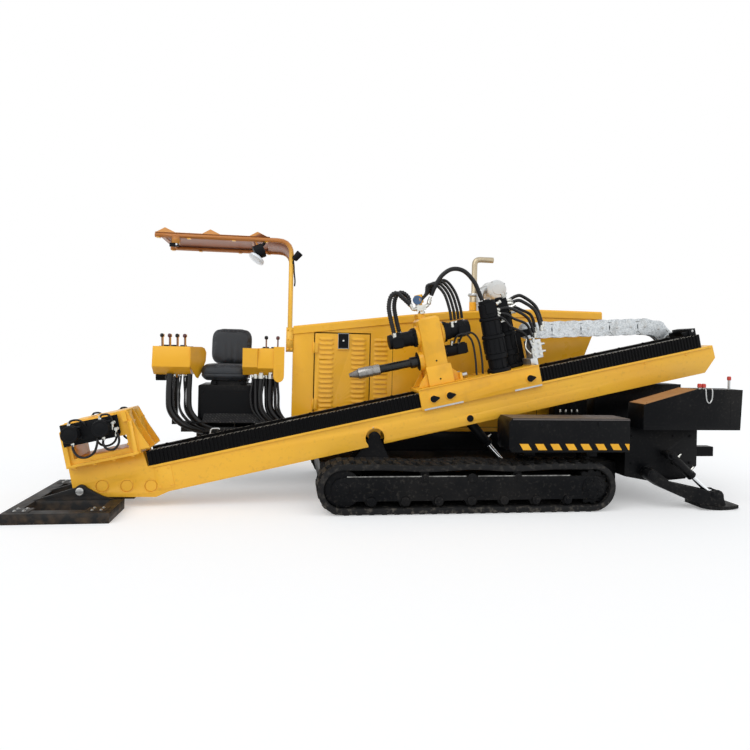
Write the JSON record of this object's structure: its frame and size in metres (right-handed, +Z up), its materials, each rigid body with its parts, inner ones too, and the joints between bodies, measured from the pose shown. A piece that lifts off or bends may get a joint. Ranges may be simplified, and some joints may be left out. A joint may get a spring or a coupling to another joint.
{
  "type": "horizontal directional drill",
  "caption": "Tracked horizontal directional drill with an inclined sliding-head mast, pipe clamps, ground anchor, rear stabiliser legs, engine hood and open operator seat.",
  "frame": {"origin": "middle of the overall box, on the ground", "axes": "+X towards the machine's rear, +Y towards the hood side, +Z up"},
  "size_m": [7.1954, 2.315, 2.9053],
  "materials": {
    "yellow": "glossy warm yellow paint",
    "black": "semi-gloss black paint",
    "rubber": "matt track rubber",
    "cast": "black painted casting",
    "steel": "bare worn steel",
    "chrome": "polished",
    "vinyl": "matt black seat vinyl",
    "zinc": "galvanised",
    "hose": "satin hydraulic hose",
    "white_plastic": "pale grey moulding"
  },
  "bodies": {
    "chassis": {"air_cleaner": "white_plastic", "canopy_frame": "yellow", "canopy_roof": "yellow", "chassis": "black", "console_hoses_left": "hose", "console_hoses_right": "hose", "console_left": "yellow", "console_right": "yellow", "deck_frame": "black", "engine": "cast", "exhaust": "steel", "hood": "yellow", "platform": "black", "pump_box": "black", "rear_body": "black", "rear_box_far": "black", "rear_box_near": "black", "seat_back": "vinyl", "seat_base": "black", "seat_cushion": "vinyl", "tool_box": "black", "track_far": "rubber", "track_frame_far": "black", "track_frame_near": "black", "track_near": "rubber"},
    "mast": {"mast_beam": "yellow", "rack_near": "black", "rack_far": "black", "rear_stop": "black", "vise_housing": "yellow", "vise_cylinders_near": "cast", "vise_cylinders_far": "cast", "chain_tray": "black", "chain_lower": "zinc"},
    "carriage": {"carriage": "yellow", "gearbox": "yellow", "motor_front": "cast", "motor_rear": "cast", "motor_brake": "cast", "feed_drive_near": "cast", "feed_drive_far": "cast", "valve_block": "steel", "chain_upper": "zinc"},
    "spindle": {"spindle": "steel"},
    "anchor": {"anchor_base": "black"},
    "lift_barrel": {"lift_barrel": "black"},
    "lift_rod": {"lift_rod": "chrome"},
    "door": {"hood_door": "yellow"},
    "leg_near": {"leg_near": "black"},
    "leg_far": {"leg_far": "black"},
    "leg_barrel_near": {"leg_barrel_near": "black"},
    "leg_barrel_far": {"leg_barrel_far": "black"},
    "leg_rod_near": {"leg_rod_near": "chrome"},
    "leg_rod_far": {"leg_rod_far": "chrome"}
  },
  "joints": [
    {"name": "mast_tilt", "type": "hinge", "parent": "chassis", "child": "mast", "pos_m": [-0.24172, -0.4575, 0.685], "axis": [0, -1, 0], "range_deg": [-12.4, 4.5]},
    {"name": "lift_barrel_pivot", "type": "hinge", "parent": "mast", "child": "lift_barrel", "pos_m": [0.76683, -0.4575, 0.89446], "axis": [0, -1, 0], "range_deg": [-9, 24.2]},
    {"name": "lift_rod_slide", "type": "slide", "parent": "lift_barrel", "child": "lift_rod", "axis": [0.6599, 0, -0.7513], "range_m": [-0.175, 0.065]},
    {"name": "carriage_feed", "type": "slide", "parent": "mast", "child": "carriage", "axis": [0.9767, 0, 0.2147], "range_m": [-1.85, 1.5]},
    {"name": "spindle_turn", "type": "hinge", "parent": "carriage", "child": "spindle", "pos_m": [-0.19155, -0.4575, 1.38818], "axis": [-0.9767, 0, -0.2147], "continuous": true},
    {"name": "anchor_pivot", "type": "hinge", "parent": "mast", "child": "anchor", "pos_m": [-3.08519, -0.4575, 0.18269], "axis": [0, -1, 0], "range_deg": [-12, 12]},
    {"name": "hood_door_hinge", "type": "hinge", "parent": "chassis", "child": "door", "pos_m": [-0.85872, 0.1295, 0], "axis": [0, 0, -1], "range_deg": [0, 34]},
    {"name": "leg_near_pivot", "type": "hinge", "parent": "chassis", "child": "leg_near", "pos_m": [2.62628, -0.9425, 0.36], "axis": [0, -1, 0], "range_deg": [-8, 25]},
    {"name": "leg_near_barrel_pivot", "type": "hinge", "parent": "chassis", "child": "leg_barrel_near", "pos_m": [2.85628, -0.9425, 0.56], "axis": [0, -1, 0], "range_deg": [-9.6, 29.4]},
    {"name": "leg_near_rod_slide", "type": "slide", "parent": "leg_barrel_near", "child": "leg_rod_near", "axis": [0.7506, 0, -0.6608], "range_m": [-0.127, 0.042]},
    {"name": "leg_far_pivot", "type": "hinge", "parent": "chassis", "child": "leg_far", "pos_m": [2.62628, 1.0275, 0.36], "axis": [0, -1, 0], "range_deg": [-8, 25]},
    {"name": "leg_far_barrel_pivot", "type": "hinge", "parent": "chassis", "child": "leg_barrel_far", "pos_m": [2.85628, 1.0275, 0.56], "axis": [0, -1, 0], "range_deg": [-9.6, 29.4]},
    {"name": "leg_far_rod_slide", "type": "slide", "parent": "leg_barrel_far", "child": "leg_rod_far", "axis": [0.7506, 0, -0.6608], "range_m": [-0.127, 0.042]}
  ],
  "couplings": [
    {"joint": "lift_barrel_pivot", "follows": "mast_tilt", "ratio": -1.929},
    {"joint": "lift_rod_slide", "follows": "mast_tilt", "m_per_rad": 0.7949},
    {"joint": "leg_near_barrel_pivot", "follows": "leg_near_pivot", "ratio": 1.159},
    {"joint": "leg_near_rod_slide", "follows": "leg_near_pivot", "m_per_rad": -0.2875},
    {"joint": "leg_far_barrel_pivot", "follows": "leg_far_pivot", "ratio": 1.159},
    {"joint": "leg_far_rod_slide", "follows": "leg_far_pivot", "m_per_rad": -0.2875}
  ]
}
